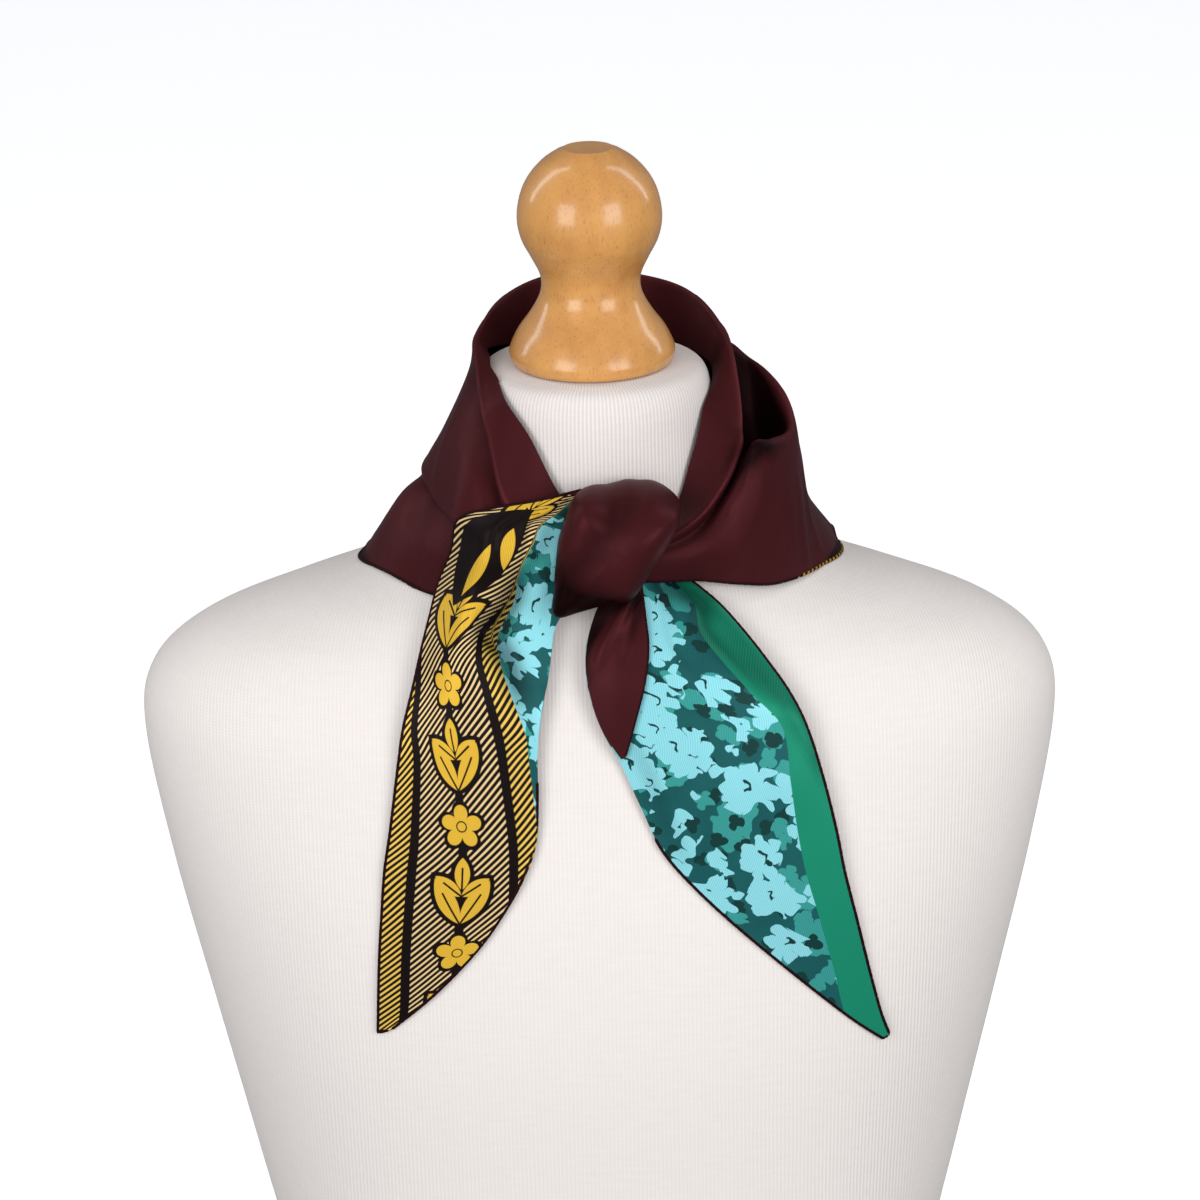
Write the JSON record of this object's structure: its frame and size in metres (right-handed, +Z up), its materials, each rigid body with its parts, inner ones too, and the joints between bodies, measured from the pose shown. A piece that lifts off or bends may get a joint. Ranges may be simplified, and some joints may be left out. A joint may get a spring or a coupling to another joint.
{
  "type": "triangle scarf on dress form",
  "caption": "Printed twill triangle scarf, rolled into a collar and half-knotted in front, on a jersey-covered limbless dress form with a turned wooden neck cap; it stands on its flat base.",
  "frame": {"origin": "the middle of the dress form's flat base, where it stands", "axes": "+Z up along the neck's axis, -Y the front with the knot and the tails, +X to the right as seen from the front"},
  "size_m": [0.412, 0.2156, 0.7536],
  "materials": {
    "jersey": "fine ribbed knit, off-white, matt",
    "turned_wood": "clear gloss varnish over pale turned wood",
    "maroon_twill": "plain maroon twill with a soft satin sheen",
    "striped_twill": "twill printed with a border of diagonal ochre and black stripes and leaves",
    "teal_twill": "twill printed with pale blossoms on teal, and a plain green border"
  },
  "bodies": {
    "root": {"dress_form": "jersey", "neck_cap": "turned_wood", "collar_left": "maroon_twill", "collar_back": "maroon_twill", "collar_right": "maroon_twill", "knot_wrap": "maroon_twill", "tail_left": "striped_twill", "tail_right": "teal_twill", "tail_right_turnover": "maroon_twill"}
  },
  "joints": []
}
